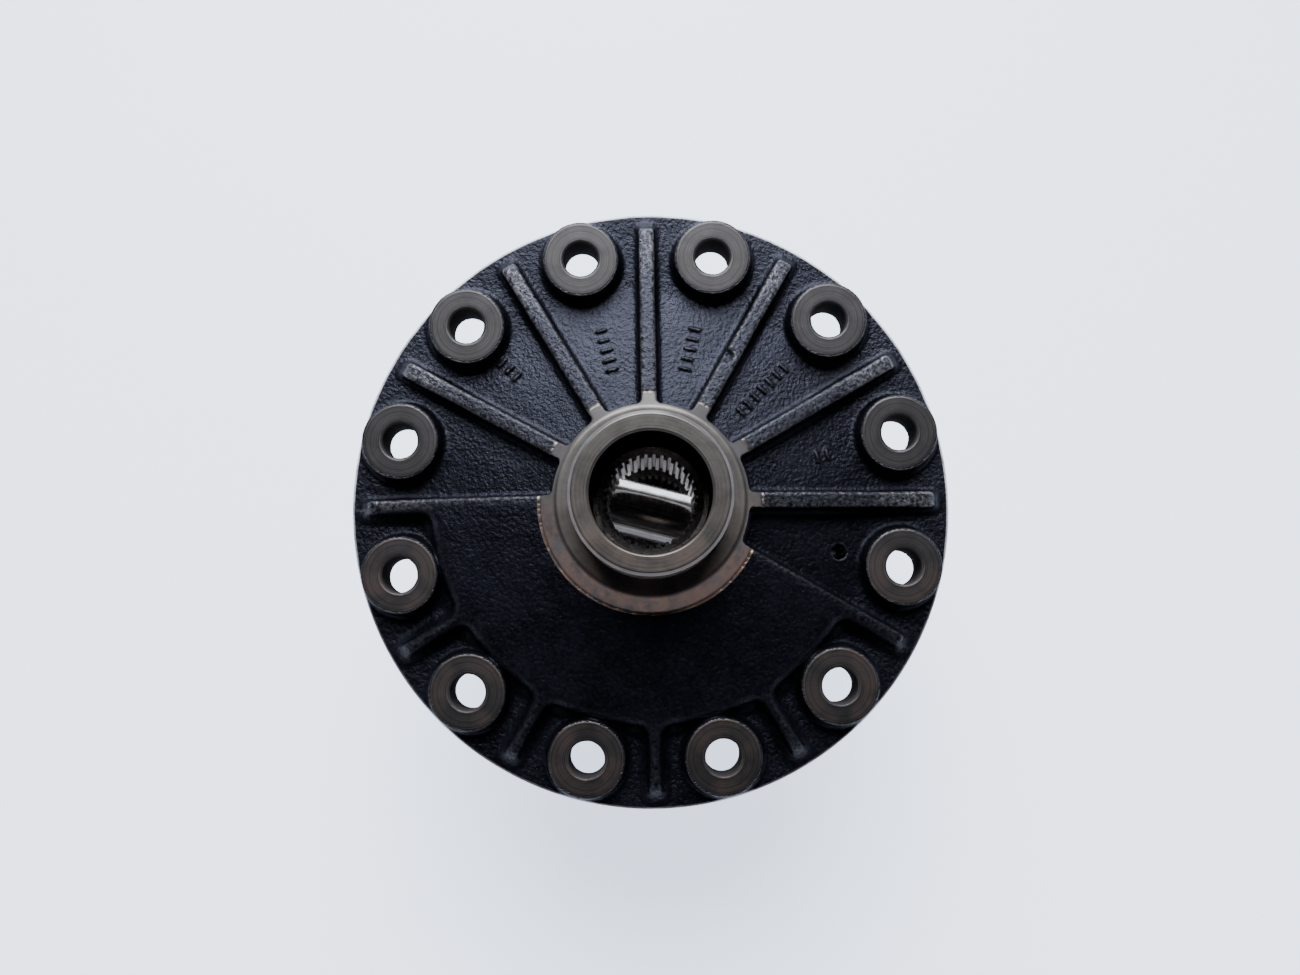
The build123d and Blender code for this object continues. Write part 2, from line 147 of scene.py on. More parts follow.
NOSE_RIB_ROUND = 1.2
NOSE_RIB_FILLET = 3.0
WINDOW_ROUND = 2.2
PILOT_EDGE = 1.2
PILOT_NOTCH_Z = -15.5           # the windows notch the pilot up to here
PILOT_NOTCH_EDGE = 0.8
PILOT_FILLET = 1.5
BORE_EDGE = 0.5
UNEVEN = 0.16                   # how far the cast skin wanders
TALLY = {1: (74.0, 2), 2: (55.0, 7), 3: (60.0, 5), 4: (60.0, 5), 5: (80.0, 3)}  # pocket: first radius, bars
TALLY_PITCH = 4.6
TALLY_BAR = (1.3, 5.0, 1.0)     # width, length and height
TALLY_ROUND = (0.4, 0.35)       # of a bar's corners in plan, and of its top
TALLY_FILLET = 0.5
DENT = (16.0, 68.9, 26.9)       # a knock in the edge of one rib
DENT_R = 4.4
DENT_EDGE = 0.4
CREST_FADE = (1.2, 1.5)         # below the rib tops, and beside them, within which the rib tops' lightening (part wear, part painted highlight) fades out

# ---- how the meshes are made ----
FLANGE_STEP = 0.7
BARREL_STEP = 1.0
MARGIN = 3.0                    # how far the grids reach past the surfaces outwards,
MARGIN_ABOVE = 2.0              # past their tops
FLANGE_GRID_LOW_Z = -2.1        # and, for the flange, down to here
LAYERS = 6                      # grid layers worked out at a time
PULLS = 3                       # steps that pull the mesh onto the exact surface
PULL_LIMIT = 0.4                # the longest of them, in grid steps
LEAST_STEEPNESS = 0.2           # a field flatter than this is pulled as if it were this steep
SLOPE_REACH = 0.05              # how far apart a field's slope is measured
BEND_REACH = 0.9                # and how far apart its bend
DOME_LAP = 0.5                  # how far inside the hub cone's foot the web stops following the dome
HUB_LAP = 2.0                   # how far the pockets run in under the hub
BARREL_LAP_Z = 4.0              # the barrel's mesh ends here, inside the flange's
NOWHERE = 10.0                  # a distance that is too far to matter
LATHE_SEGMENTS = 240
LATHE_SHARP = radians(28)       # a turned piece's edges sharper than this are shaded sharp
TRUNNION_ROUNDS = {5: 0.2, 6: 0.35, 7: 0.35, 8: 0.25, 9: 0.25}  # corner of the outline: its rounding
TRUNNION_LAP = (0.6, 0.4)       # how far the trunnions' feet reach into the casting, outwards and down
FLAT_GUARD = 0.12               # points this far beside a rounded corner keep the flats' shading flat
# A height over a sloping face, times its scale here, is close to the distance from the face.
DOME_SCALE = 0.993
FLOOR_SCALE = 0.985
SIDE_SCALE = 0.994


# ---- distance fields, in millimetres, negative inside ----

def round_and(a, b, radius):
    """What is in both a and b, its edge rounded off to a radius."""
    reach = np.hypot(np.maximum(a + radius, 0), np.maximum(b + radius, 0))
    return np.minimum(np.maximum(a, b), -radius) + reach


def round_or(a, b, radius):
    """What is in either a or b, with a fillet where they meet."""
    return -round_and(-a, -b, radius)


def slope_through(r, z, low, high):
    """Distance from the cone through two (radius, height) points, positive on the left of the way from
    high to low."""
    run, rise = low[0] - high[0], high[1] - low[1]
    return (rise * (r - high[0]) + run * (z - high[1])) / np.hypot(run, rise)


def fold(x, y, count):
    """Each point seen from the nearest of count equal directions: along it, across it, and its number."""
    step = 2 * np.pi / count
    turn = np.arctan2(y, x)
    number = np.round(turn / step)
    off = turn - number * step
    r = np.hypot(x, y)
    return r * np.cos(off), r * np.sin(off), number.astype(int) % count


def ripple(x, y, z):
    """The slow unevenness of a sand-cast skin."""
    broad = np.sin(x / 7.1 + 1.3) * np.sin(y / 6.3 + 0.4) * np.sin(z / 5.9 + 2.0)
    fine = np.sin(x / 2.9 + y / 3.7) * np.sin(y / 2.5 - z / 3.1 + 0.7) * np.sin(x / 3.3 + z / 2.7 + 1.9)
    return UNEVEN * (broad + 0.45 * fine)


def gear_room(x, y, z):
    """The space that the gears turn in, a ball cut off level at both thrust faces."""
    ball = np.sqrt(x ** 2 + y ** 2 + (z - CENTRE_Z) ** 2) - SEAT_SPHERE_R
    return np.maximum(ball, np.abs(z - CENTRE_Z) - THRUST_FACE)


def hub_cone(r, z):
    """The turned cone round the flange-side hub."""
    return slope_through(r, z, HUB_CONE, (SHOULDER_R, SHOULDER_Z))


def lock_hole(x, y, z):
    """The drilled hole of the shaft's lock pin."""
    return np.maximum(np.hypot(x - LOCK_R, y) - LOCK_HOLE_R, LOCK_HOLE_BOTTOM_Z - z)


def dome_height(r):
    """Height of the rib tops at a radius."""
    return DOME_TOP[1] - DOME_SLOPE * (r - DOME_TOP[0])


def past_rib(along, across, half_w):
    """How far a point in a bolt's sector stands clear of the rib on its side."""
    half = np.pi / BOLT_COUNT
    return along * sin(half) - np.abs(across) * cos(half) - half_w


def tally(along, across, number, height):
    """Plain raised bars standing on the pocket floors."""
    first, count = np.zeros(BOLT_COUNT), np.zeros(BOLT_COUNT)
    for pocket, (start, bars) in TALLY.items():
        first[pocket], count[pocket] = start, bars
    off = along - first[number]
    nearest = np.clip(np.round(off / TALLY_PITCH), 0, np.maximum(count[number] - 1, 0))
    off = np.abs(off - TALLY_PITCH * nearest)
    width, length, top = TALLY_BAR
    bar = round_and(off - width / 2, np.abs(across) - length / 2, TALLY_ROUND[0])
    bar = round_and(bar, height - top, TALLY_ROUND[1])
    return np.where(count[number] > 0, bar, NOWHERE)


def dent(x, y, z):
    """A small ball pressed into one rib."""
    return np.sqrt((x - DENT[0]) ** 2 + (y - DENT[1]) ** 2 + (z - DENT[2]) ** 2) - DENT_R


def floor_height(r):
    """Height of the pocket floors: sloping down from the hub, then level."""
    steep = (FLOOR_HUB[1] - RIM_T) / (FLOOR_FLAT_R - FLOOR_HUB[0])
    fall = FLOOR_FLAT_R - r
    return RIM_T + steep * 0.5 * (fall + np.sqrt(fall ** 2 + FLOOR_BEND ** 2))


def ribbed_dome(r, z, along, across, short):
    """The web and ribs above the pocket floors."""
    below = dome_height(r) - z
    dome = np.minimum(-below * DOME_SCALE, r - HUB_CONE[0] + DOME_LAP)
    rib_side = past_rib(along, across, np.where(short, STUB_RIB_HALF_W, RIB_HALF_W)) - below * RIB_DRAFT
    inner = np.where(short, r - SHORT_POCKET_R - below * SHORT_POCKET_DRAFT, r - HUB_R + HUB_LAP)
    pocket = round_and(-rib_side, -inner, np.where(short, SHORT_POCKET_CORNER, LONG_POCKET_CORNER))
    plan = round_and(-pocket, slope_through(r, z, RIB_FOOT, RIB_END), RIB_END_ROUND)
    top_round = np.where(short & (r > SHORT_TOP_FROM_R), SHORT_TOP_ROUND, RIB_TOP_ROUND)
    return round_and(dome, plan, top_round)


def flange_field(x, y, z):
    """The flange, its web with pockets and ribs, the bolt bosses and the hub."""
    r = np.hypot(x, y)
    along, across, number = fold(x, y, BOLT_COUNT)
    short = np.isin(number, THICK_SIDE)
    over_floor = z - floor_height(r)
    solid = round_or(ribbed_dome(r, z, along, across, short), over_floor * FLOOR_SCALE,
                     np.where(short, SHORT_FLOOR_FILLET, FLOOR_FILLET))
    hub = np.maximum(r - HUB_R, z - SHOULDER_Z)
    solid = round_or(solid, hub, HUB_FILLET)
    boss_r = np.hypot(along - BOLT_CIRCLE_R, across)
    boss = boss_r - BOSS_TOP_R - (BOSS_TOP_Z - z) * BOSS_DRAFT
    solid = round_or(solid, np.maximum(boss, z - BOSS_TOP_Z - SPOT_FACE_DEPTH), BOSS_FILLET)
    solid = round_or(solid, tally(along, across, number, over_floor), TALLY_FILLET)
    solid = round_and(solid, -dent(x, y, z), DENT_EDGE)
    solid = solid + ripple(x, y, z)
    spot_face = np.maximum(BOSS_TOP_Z - z, boss_r - BOSS_TOP_R - SPOT_FACE_PAST)
    solid = round_and(solid, -spot_face, EDGE_BREAK)
    solid = round_and(solid, np.minimum(HUB_CONE[0] - r, hub_cone(r, z)), HUB_CONE_EDGE)
    solid = round_and(solid, z - SHOULDER_Z, TURNED_EDGE)
    solid = round_and(solid, r - FLANGE_R, RIM_EDGE)
    solid = round_and(solid, -z, TURNED_EDGE)
    solid = round_and(solid, BOLT_HOLE_R - boss_r, EDGE_BREAK)
    solid = np.maximum(solid, -gear_room(x, y, z))
    solid = round_and(solid, -lock_hole(x, y, z), LOCK_HOLE_EDGE)
    return np.maximum(solid, LINER_R - r)


def flange_turned(x, y, z):
    """How far inside a turned or drilled face a point lies, in millimetres, and its radius there. Each
    face is taken a little wide, so that its edge falls where the casting's own edge is."""
    r = np.hypot(x, y)
    along, across, _ = fold(x, y, BOLT_COUNT)
    boss_r = np.hypot(along - BOLT_CIRCLE_R, across)
    on_boss = np.minimum(BOSS_TOP_R + 1.0 - boss_r, z - BOSS_TOP_Z + 0.1)
    in_hole = BOLT_HOLE_R + 0.25 - boss_r
    on_hub = np.minimum(np.maximum(hub_cone(r, z), z - SHOULDER_Z) + 0.3, HUB_CONE[0] + 0.8 - r)
    on_rim = np.maximum(r - FLANGE_R + 0.75, 0.5 - z)
    inside = 0.3 - np.abs(gear_room(x, y, z))
    turned = np.maximum.reduce([on_boss, in_hole, on_hub, on_rim, inside])
    near_boss = np.maximum(on_boss, in_hole) > -1.5
    return turned, np.where(near_boss, boss_r, r)


def crest(x, y, z):
    """1 on the tops of the long ribs, fading out just below them and beside them."""
    r = np.hypot(x, y)
    along, across, number = fold(x, y, BOLT_COUNT)
    near_top = np.clip(CREST_FADE[0] - (dome_height(r) - z), 0, 1)
    on_top = near_top * np.clip(CREST_FADE[1] - past_rib(along, across, RIB_HALF_W), 0, 1)
    return np.where(np.isin(number, THICK_SIDE) & (r < SHORT_POCKET_R), 0.0, on_top)


def windows(x, y, z):
    """The openings on both sides that the gears are put in through."""
    half_w = np.where(y > 0, *WINDOW_HALF_W) - WINDOW_CORNER_R
    half_h = (WINDOW_Z[1] - WINDOW_Z[0]) / 2 - WINDOW_CORNER_R
    out_x = np.abs(x) - half_w
    out_z = np.abs(z - (WINDOW_Z[0] + WINDOW_Z[1]) / 2) - half_h
    hole = np.hypot(np.maximum(out_x, 0), np.maximum(out_z, 0)) + np.minimum(np.maximum(out_x, out_z), 0)
    return np.maximum(hole - WINDOW_CORNER_R, WINDOW_INNER - np.abs(y))


def add_nose_ribs(solid, x, y, z):
    """The solid with ribs down its nose to the far hub."""
    inner_r, outer_r = NOSE_RIB_REACH
    for angle in NOSE_RIB_ANGLES:
        out = x * cos(radians(angle)) + y * sin(radians(angle))
        off = np.abs(y * cos(radians(angle)) - x * sin(radians(angle))) - NOSE_RIB_HALF_W
        ends = np.maximum(np.maximum(inner_r - out, out - outer_r), z - NOSE_RIB_TOP_Z)
        profile = np.maximum(slope_through(out, z, *NOSE_RIB_EDGE), ends)
        solid = round_or(solid, round_and(profile, off, NOSE_RIB_ROUND), NOSE_RIB_FILLET)
    return solid


def barrel_field(x, y, z):
    """Everything below the flange: pilot, barrel with its windows, shaft bosses, nose and far hub."""
    r = np.hypot(x, y)
    shaft_r = np.hypot(y, z - CENTRE_Z)
    taper = (BARREL_TOP_R - BARREL_R) / (PILOT_END_Z - BARREL_END_Z)
    side = (r - BARREL_R - (z - BARREL_END_Z) * taper) * SIDE_SCALE
    solid = round_and(side, slope_through(r, z, NOSE, (BARREL_R, BARREL_END_Z)), NOSE_ROUND)
    far_hub = np.maximum(r - FAR_HUB_R, FAR_SHOULDER_Z - z)
    solid = round_or(solid, far_hub, FAR_HUB_FILLET)
    boss = shaft_r - SHAFT_BOSS_R - (SHAFT_BOSS_END - np.abs(x)) * SHAFT_BOSS_DRAFT
    boss = round_and(boss, r - SHAFT_BOSS_LIMIT_R, SHAFT_BOSS_TURNED_EDGE)
    boss = round_and(boss, np.abs(x) - SHAFT_BOSS_END, SHAFT_BOSS_EDGE)
    solid = round_or(solid, boss, SHAFT_BOSS_FILLET)
    solid = add_nose_ribs(solid, x, y, z)
    hole = windows(x, y, z)
    solid = round_and(solid, -hole, WINDOW_ROUND)
    solid = solid + ripple(x, y, z)
    solid = round_and(solid, np.abs(x) - SHAFT_BOSS_END, TURNED_EDGE)
    pilot = round_and(r - PILOT_R, PILOT_END_Z - z, PILOT_EDGE)
    pilot = round_and(pilot, -np.maximum(hole, z - PILOT_NOTCH_Z), PILOT_NOTCH_EDGE)
    solid = round_or(solid, pilot, PILOT_FILLET)
    solid = round_and(solid, FAR_SHOULDER_Z - z, TURNED_EDGE)
    solid = np.maximum(solid, z - BARREL_LAP_Z)
    solid = round_and(solid, -gear_room(x, y, z), BORE_EDGE)
    solid = round_and(solid, SHAFT_HOLE_R - shaft_r, BORE_EDGE)
    solid = np.maximum(solid, -lock_hole(x, y, z))
    return np.maximum(solid, LINER_R - r)


def barrel_turned(x, y, z):
    """The same as flange_turned, for the faces below the flange."""
    r = np.hypot(x, y)
    shaft_r = np.hypot(y, z - CENTRE_Z)
    on_pilot = np.minimum(r - PILOT_R + 0.3, z - PILOT_END_Z - 0.4)
    far_face = np.minimum(FAR_SHOULDER_Z + 0.3 - z, 60.0 - r)
    on_end = np.minimum(np.abs(x) - SHAFT_BOSS_END + 0.3, 30 - shaft_r)
    in_hole = SHAFT_HOLE_R + 0.3 - shaft_r
    inside = 0.35 - np.abs(gear_room(x, y, z))
    turned = np.maximum.reduce([on_pilot, far_face, on_end, in_hole, inside])
    return turned, np.where(np.maximum(on_end, in_hole) > -1.0, shaft_r, r)


# ---- meshes ----

def sample(field, low, high, step):
    """The field on a grid, a few layers at a time."""
    axes = [np.arange(a, b + step, step) for a, b in zip(low, high)]
    x, y = np.broadcast_arrays(axes[0][:, None, None], axes[1][None, :, None])
    layers = []
    for start in range(0, len(axes[2]), LAYERS):
        layers.append(field(x, y, axes[2][None, None, start:start + LAYERS]).astype(np.float32))
    return axes, np.concatenate(layers, axis=2)


def surface_net(axes, grid, step):
    """One vertex in each cell that the surface crosses, and a quad round each grid edge that it crosses."""
    inside = grid < 0
    shape = np.array(grid.shape) - 1
    corner = [(i, j, k) for i in (0, 1) for j in (0, 1) for k in (0, 1)]
    count = np.zeros(shape, np.int8)
    for i, j, k in corner:
        count += inside[i:i + shape[0], j:j + shape[1], k:k + shape[2]]
    cells = np.argwhere((count > 0) & (count < 8))
    index = np.full(shape, -1, np.int32)
    index[tuple(cells.T)] = np.arange(len(cells))
    values = {c: grid[tuple((cells + c).T)] for c in corner}
    total, crossings = np.zeros((len(cells), 3)), np.zeros(len(cells))
    for a in corner:
        for axis in range(3):
            if a[axis]:
                continue
            b = tuple(a[n] + (n == axis) for n in range(3))
            crosses = (values[a] < 0) != (values[b] < 0)
            share = values[a][crosses] / (values[a][crosses] - values[b][crosses])
            spot = np.tile(np.array(a, float), (crosses.sum(), 1))
            spot[:, axis] += share
            total[crosses] += spot
            crossings[crosses] += 1
    points = np.array([a[0] for a in axes]) + (cells + total / crossings[:, None]) * step
    quads = []
    for axis in range(3):
        u, v = (axis + 1) % 3, (axis + 2) % 3
        here = np.take(inside, np.arange(shape[axis]), axis)
        there = np.take(inside, np.arange(1, shape[axis] + 1), axis)
        edges = np.argwhere(here != there)
        within = (edges[:, u] > 0) & (edges[:, u] < shape[u]) & (edges[:, v] > 0) & (edges[:, v] < shape[v])
        edges = edges[within]
        outward = here[tuple(edges.T)]
        ring = []
        for du, dv in ((0, 0), (-1, 0), (-1, -1), (0, -1)):
            cell = edges.copy()
            cell[:, u] += du
            cell[:, v] += dv
            ring.append(index[tuple(cell.T)])
        ring = np.stack(ring, axis=1)
        quads.append(np.where(outward[:, None], ring, ring[:, ::-1]))
    return points, np.concatenate(quads)


def gradient(field, points, reach):
    """The field's slope and how fast it bends, at each point."""
    middle = field(*points.T)
    slope, bend = np.empty_like(points), -6 * middle
    for axis in range(3):
        ahead, behind = points.copy(), points.copy()
        ahead[:, axis] += reach
        behind[:, axis] -= reach
        f_ahead, f_behind = field(*ahead.T), field(*behind.T)
        slope[:, axis] = (f_ahead - f_behind) / (2 * reach)
        bend += f_ahead + f_behind
    return middle, slope, bend / reach ** 2


def make_object(name, points, faces):
    """A smooth-shaded mesh object, from points in millimetres."""
    mesh = bpy.data.meshes.new(name)
    mesh.from_pydata((np.asarray(points) * MM).tolist(), [], np.asarray(faces).tolist())
    mesh.update()
    mesh.polygons.foreach_set("use_smooth", [True] * len(mesh.polygons))
    piece = bpy.data.objects.new(name, mesh)
    bpy.context.scene.collection.objects.link(piece)
    return piece


def join_case(piece):
    """Makes a piece part of the case: it rides on its body and stands in for its CAD solid."""
    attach(piece, "case")
    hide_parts("differential_case")
    return piece


def add_attribute(piece, name, values):
    layer = piece.data.attributes.new(name, "FLOAT", "POINT")
    layer.data.foreach_set("value", np.asarray(values, np.float32))


def cast_piece(name, field, turned, low, high, step):
    """A closed mesh of a field, pulled onto its exact surface, carrying what the material needs."""
    axes, grid = sample(field, low, high, step)
    points, faces = surface_net(axes, grid, step)
    for _ in range(PULLS):
        value, slope, _ = gradient(field, points, SLOPE_REACH)
        steepness = np.maximum((slope ** 2).sum(axis=1), LEAST_STEEPNESS)
        move = -slope * (value / steepness)[:, None]
        length = np.linalg.norm(move, axis=1)
        points += move * np.minimum(1, PULL_LIMIT * step / np.maximum(length, 1e-9))[:, None]
    piece = make_object(name, points, faces)
    depth, turn_r = turned(*points.T)
    _, _, bend = gradient(field, points, BEND_REACH)
    add_attribute(piece, "turned", depth)
    add_attribute(piece, "turn_r", turn_r)
    add_attribute(piece, "convex", bend)
    add_attribute(piece, "crest", crest(*points.T) if field is flange_field else np.zeros(len(points)))
    return join_case(piece)


def lathe_piece(name, profile):
    """A turned ring from its closed (radius, height) outline, anticlockwise."""
    profile = np.array(profile)
    angles = np.arange(LATHE_SEGMENTS) * 2 * np.pi / LATHE_SEGMENTS
    points = np.stack([np.outer(np.cos(angles), profile[:, 0]), np.outer(np.sin(angles), profile[:, 0]),
                       np.tile(profile[:, 1], (LATHE_SEGMENTS, 1))], axis=2).reshape(-1, 3)
    n = len(profile)
    i, j = np.meshgrid(np.arange(LATHE_SEGMENTS), np.arange(n), indexing="ij")
    i_next, j_next = (i + 1) % LATHE_SEGMENTS, (j + 1) % n
    corners = [i * n + j, i_next * n + j, i_next * n + j_next, i * n + j_next]
    faces = np.stack(corners, axis=2).reshape(-1, 4)
    piece = make_object(name, points, faces)
    piece.data.set_sharp_from_angle(angle=LATHE_SHARP)
    return join_case(piece)


def rounded(profile, cuts):
    """The outline with each corner listed in cuts (its number: size) rounded off, and a point on each side
    of it so that the flats beside it shade flat."""
    out = []
    for k, corner in enumerate(profile):
        size = cuts.get(k)
        if not size:
            out.append(corner)
            continue
        here = np.array(corner, float)
        before, after = np.array(profile[k - 1], float), np.array(profile[(k + 1) % len(profile)], float)
        back = (before - here) / np.linalg.norm(before - here)
        ahead = (after - here) / np.linalg.norm(after - here)
        out.append(tuple(here + back * (size + FLAT_GUARD)))
        for t in np.linspace(0, 1, 5):
            out.append(tuple(here + back * size * (1 - t) ** 2 + ahead * size * t ** 2))
        out.append(tuple(here + ahead * (size + FLAT_GUARD)))
    return out


def trunnion_outline():
    """Half of the flange-side journal's cross-section, with its undercut, chamfers and stepped bore."""
    top = SHOULDER_Z + JOURNAL_LENGTH
    root_r = LINER_R + TRUNNION_LAP[0]
    root_z = SHOULDER_Z - TRUNNION_LAP[1]
    undercut_r = JOURNAL_R - UNDERCUT_DEPTH
    outline = [
        (COUNTERBORE_R, CENTRE_Z + THRUST_FACE), (root_r, CENTRE_Z + THRUST_FACE),
        (root_r, root_z), (undercut_r, root_z),
        (undercut_r, SHOULDER_Z + UNDERCUT_WIDTH),
        (JOURNAL_R, SHOULDER_Z + UNDERCUT_WIDTH + UNDERCUT_DEPTH),
        (JOURNAL_R, top - JOURNAL_CHAMFER), (JOURNAL_R - JOURNAL_CHAMFER, top),
        (BORE_R + BORE_CHAMFER, top), (BORE_R, top - BORE_CHAMFER),
        (BORE_R, CENTRE_Z + COUNTERBORE_END), (COUNTERBORE_R, CENTRE_Z + COUNTERBORE_END),
    ]
    return rounded(outline, TRUNNION_ROUNDS)


# ---- materials ----

BLACK_COAT = (0.0014, 0.0014, 0.0018)
BLACK_COAT_LIGHT = (0.0050, 0.0053, 0.0085)
COAT_SHEEN = (0.74, 0.76, 1.0, 1.0)
BARE_CAST_AND_HIGHLIGHT = (0.20, 0.195, 0.20)
RIM_HIGHLIGHT = (0.72, 0.73, 0.76)
TURNED = (0.138, 0.128, 0.118)
TURNED_DARK = (0.088, 0.080, 0.073)
STAIN = (0.19, 0.133, 0.109)
HUB_HIGHLIGHT = (0.16, 0.146, 0.13)
HUB_STAIN = (0.235, 0.148, 0.106)
BOSS_DULL = (0.021, 0.0205, 0.0245)
HOLE_SHADE = (0.036, 0.034, 0.034)
BORE_SHADE = (0.0028, 0.0025, 0.0025)


class Graph:
    """A material's node tree, with short ways to add the nodes used here."""

    def __init__(self, name):
        self.material = bpy.data.materials.new(name)
        self.material.use_nodes = True
        self.nodes, self.links = self.material.node_tree.nodes, self.material.node_tree.links
        self.shader = self.nodes["Principled BSDF"]
        self.place = self.nodes.new("ShaderNodeTexCoord").outputs["Object"]

    def put(self, socket, value):
        if isinstance(value, bpy.types.NodeSocket):
            self.links.new(value, socket)
        elif value is not None:
            socket.default_value = value

    def math(self, operation, a, b=None, clamp=False):
        node = self.nodes.new("ShaderNodeMath")
        node.operation, node.use_clamp = operation, clamp
        for socket, value in zip(node.inputs, (a, b)):
            self.put(socket, value)
        return node.outputs[0]

    def plus(self, a, b):
        return self.math("ADD", a, b)

    def times(self, first, *others):
        """The product of numbers and sockets."""
        for other in others:
            first = self.math("MULTIPLY", first, other)
        return first

    def noise(self, size_mm, detail=3.0, rough=0.55):
        """Noise from 0 to 1 whose grains are about size_mm wide."""
        node = self.nodes.new("ShaderNodeTexNoise")
        self.put(node.inputs["Vector"], self.place)
        node.inputs["Scale"].default_value = 1 / (size_mm * MM)
        node.inputs["Detail"].default_value = detail
        node.inputs["Roughness"].default_value = rough
        return node.outputs["Fac"]

    def attribute(self, name):
        node = self.nodes.new("ShaderNodeAttribute")
        node.attribute_name = name
        return node.outputs["Fac"]

    def span(self, value, low, high, to_low=0.0, to_high=1.0):
        """value carried smoothly from low..high to to_low..to_high, and held outside it."""
        node = self.nodes.new("ShaderNodeMapRange")
        node.interpolation_type = "SMOOTHSTEP"
        for socket, number in zip(node.inputs, (value, low, high, to_low, to_high)):
            self.put(socket, number)
        return node.outputs[0]

    def mix(self, share, a, b):
        """From colour a to colour b."""
        node = self.nodes.new("ShaderNodeMix")
        node.data_type = "RGBA"
        self.put(node.inputs[0], share)
        for socket, value in zip((node.inputs[6], node.inputs[7]), (a, b)):
            self.put(socket, value if isinstance(value, bpy.types.NodeSocket) else (*value, 1.0))
        return node.outputs[2]

    def blend(self, share, a, b):
        """From number a to number b."""
        node = self.nodes.new("ShaderNodeMix")
        for socket, value in zip(node.inputs, (share, None, a, b)):
            self.put(socket, value)
        return node.outputs[0]

    def axis(self, name):
        """Place along an axis, in millimetres."""
        node = self.nodes.new("ShaderNodeSeparateXYZ")
        self.put(node.inputs[0], self.place)
        return self.times(node.outputs[name], 1 / MM)

    def radius(self):
        """Distance from the axle's axis, in millimetres."""
        squares = [self.math("POWER", self.axis(name), 2.0) for name in ("X", "Y")]
        return self.math("SQRT", self.plus(*squares))

    def rings(self, radius, pitch_mm):
        """Fine turning marks: uneven rings about the axis that radius is measured from."""
        node = self.nodes.new("ShaderNodeTexNoise")
        node.noise_dimensions = "1D"
        self.put(node.inputs["W"], radius)
        node.inputs["Scale"].default_value = 1 / pitch_mm
        node.inputs["Detail"].default_value = 2.0
        node.inputs["Roughness"].default_value = 0.7
        return node.outputs["Fac"]

    def bump(self, height, depth_mm, under=None):
        node = self.nodes.new("ShaderNodeBump")
        self.put(node.inputs["Height"], height)
        node.inputs["Strength"].default_value = 1.0
        node.inputs["Distance"].default_value = depth_mm * MM
        if under is not None:
            self.links.new(under, node.inputs["Normal"])
        return node.outputs[0]

    def finish(self, **sockets):
        for name, value in sockets.items():
            self.put(self.shader.inputs[name.replace("_", " ")], value)
        return self.material


def low_side(g):
    """Millimetres from the axle towards the bottom of the view, the side away from the light, which is
    roughly the thickened side.
    """
    return g.math("SUBTRACT", g.times(g.axis("X"), 0.24), g.axis("Y"))


def turned_colour(g, radius):
    """The patchy warm grey of oiled turned iron, its turning marks, and where it is stained brown."""
    marks = g.rings(radius, 0.55)
    patches = g.noise(11.0, 5.0, 0.62)
    share = g.plus(g.times(marks, 0.25), g.times(patches, 0.85))
    colour = g.mix(g.span(share, 0.36, 0.76), TURNED_DARK, TURNED)
    stained = g.times(g.span(low_side(g), -10.0, 40.0, 0.0, 0.75),
                      g.span(g.noise(12.0, 4.0, 0.6), 0.34, 0.68))
    return g.mix(stained, colour, STAIN), marks, stained


def case_turned_colour(g, turn_r):
    """As turned_colour, with hub, bosses and bolt holes toned apart (a painted highlight on the hub towards
    the light, painted shade on the bolt-hole walls), and where the holes are.
    """
    colour, marks, stained = turned_colour(g, turn_r)
    on_hub = g.times(g.span(turn_r, 39.0, 40.5), g.span(turn_r, 50.0, 52.0, 1.0, 0.0))
    # Painted highlight: the hub's cone is lighter towards the top of the view, where the light comes from.
    hub_highlight = g.times(on_hub, g.span(low_side(g), -30.0, 30.0, 0.3, 0.0))
    colour = g.mix(hub_highlight, colour, HUB_HIGHLIGHT)
    brown_patches = g.span(g.noise(6.0, 5.0, 0.7), 0.36, 0.66)
    brown_hub = g.times(on_hub, g.span(low_side(g), -20.0, 30.0, 0.0, 0.8), brown_patches)
    colour = g.mix(brown_hub, colour, HUB_STAIN)
    on_boss = g.span(turn_r, 20.0, 25.0, 1.0, 0.0)
    colour = g.mix(g.times(on_boss, g.span(marks, 0.3, 0.65, 0.84, 0.54)), colour, BOSS_DULL)
    in_hole = g.span(turn_r, BOLT_HOLE_R + 0.3, BOLT_HOLE_R + 0.8, 1.0, 0.0)
    # Painted shade: the bolt-hole walls are darkened.
    colour = g.mix(g.times(in_hole, 0.85), colour, HOLE_SHADE)
    return colour, marks, stained, in_hole


def coat_wear_and_highlight(g, toward_light):
    """How far the coat is lightened along raised edges and rib tops, most at the ribs' outer ends and
    towards the light: partly worn-thin coat, partly painted highlight.
    """
    edge = g.times(g.span(g.attribute("convex"), 0.2, 0.8), 0.4)
    rib_tops = g.times(g.attribute("crest"), g.span(g.radius(), 88.0, 112.0, 0.2, 0.75))
    patchy = g.span(g.noise(1.6, 5.0, 0.7), 0.38, 0.68)
    return g.times(g.math("MULTIPLY", g.plus(edge, rib_tops), patchy, clamp=True), toward_light)


def rim_highlight(g, toward_light):
    """A painted highlight: a thin bright line on the rim's outer corner on the bolt side, strongest towards
    the light.
    """
    corner = g.times(g.span(g.radius(), FLANGE_R - 1.3, FLANGE_R - 0.7),
                     g.span(g.axis("Z"), RIM_T - 1.4, RIM_T - 0.9),
                     g.span(g.attribute("convex"), 0.15, 0.5))
    return g.times(corner, toward_light, g.span(g.noise(9.0, 4.0, 0.6), 0.3, 0.6, 0.4, 1.0))


